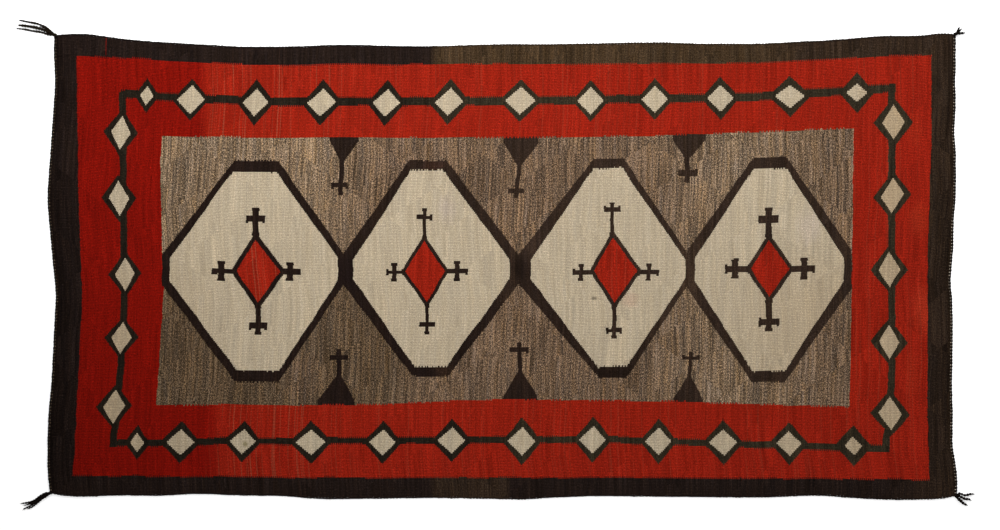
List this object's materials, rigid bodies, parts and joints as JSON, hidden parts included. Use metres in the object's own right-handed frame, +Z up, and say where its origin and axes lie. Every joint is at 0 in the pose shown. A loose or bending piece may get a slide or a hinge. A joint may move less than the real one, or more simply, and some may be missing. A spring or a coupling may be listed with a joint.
{
  "type": "navajo rug",
  "caption": "Flat tapestry-woven wool rug with twined cords along its edges and a knotted tassel at each corner.",
  "frame": {"origin": "middle of the rug's underside, on the floor", "axes": "+X along the rug's length, +Y across it, +Z up from its face"},
  "size_m": [2.5071, 1.2829, 0.0073],
  "materials": {
    "rug_wool": "weft-faced wool in red, cream, grey and brown-black, matt",
    "end_cord": "two-ply wool cord, brown-black, matt",
    "side_cord": "two-ply wool cord, brown-black, matt",
    "tassel_yarn": "loose wool yarn, brown-black, matt"
  },
  "bodies": {
    "root": {"woven_field": "rug_wool", "end_cord_left": "end_cord", "end_cord_right": "end_cord", "side_cord_near": "side_cord", "side_cord_far": "side_cord", "tassel_far_left": "tassel_yarn", "tassel_near_left": "tassel_yarn", "tassel_far_right": "tassel_yarn", "tassel_near_right": "tassel_yarn"}
  },
  "joints": []
}
